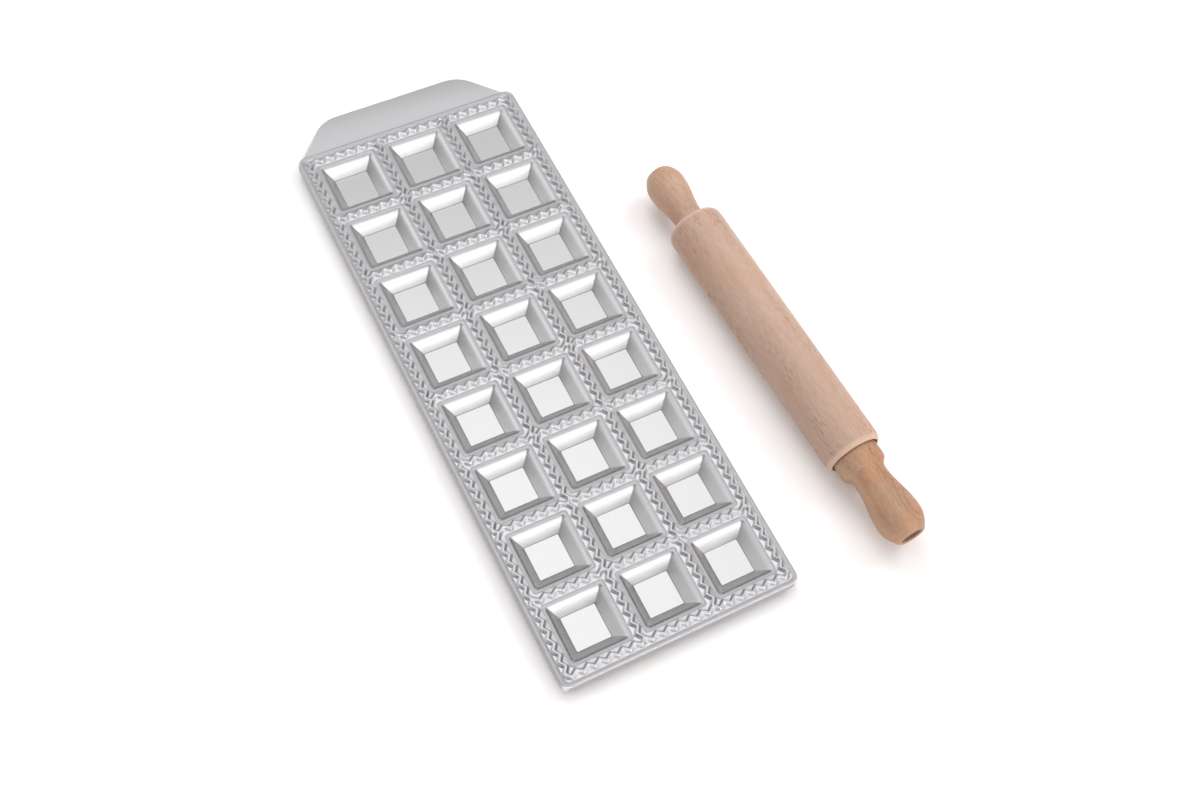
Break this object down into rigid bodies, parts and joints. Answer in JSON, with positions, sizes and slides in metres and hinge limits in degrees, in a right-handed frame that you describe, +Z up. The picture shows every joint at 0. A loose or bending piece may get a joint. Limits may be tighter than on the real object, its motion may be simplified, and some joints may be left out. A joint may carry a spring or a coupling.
{
  "type": "ravioli mould with rolling pin",
  "caption": "Flat pressed metal ravioli mould with square pockets, zigzag cutting ribs and a hanging tab, and a small turned wooden rolling pin lying beside it.",
  "frame": {"origin": "centre of the set's outline on the table, under both the tray and the pin", "axes": "+Y along the tray toward its hanging tab, +X across the tray toward the rolling pin, +Z up off the table"},
  "size_m": [0.1828, 0.3224, 0.0284],
  "materials": {
    "pressed_aluminium": "satin pressed sheet",
    "pale_beech": "bare sanded beech with short dark flecks",
    "beech_dowel": "end grain, bare",
    "beech_near_grip": "bare sanded beech, warmer in tone",
    "beech_far_grip": "bare sanded beech, warmer in tone"
  },
  "bodies": {
    "tray": {"ravioli_tray": "pressed_aluminium"},
    "pin": {"axle": "beech_dowel", "near_handle": "beech_near_grip", "far_handle": "beech_far_grip"},
    "roller": {"roller": "pale_beech"}
  },
  "joints": [
    {"name": "pin_lift", "type": "slide", "parent": "tray", "child": "pin", "axis": [0, 0, 1], "range_m": [0, 0.12]},
    {"name": "roller_spin", "type": "hinge", "parent": "pin", "child": "roller", "pos_m": [0.07398, -0.05011, 0.0142], "axis": [-0.0523, 0.9986, 0], "continuous": true}
  ]
}
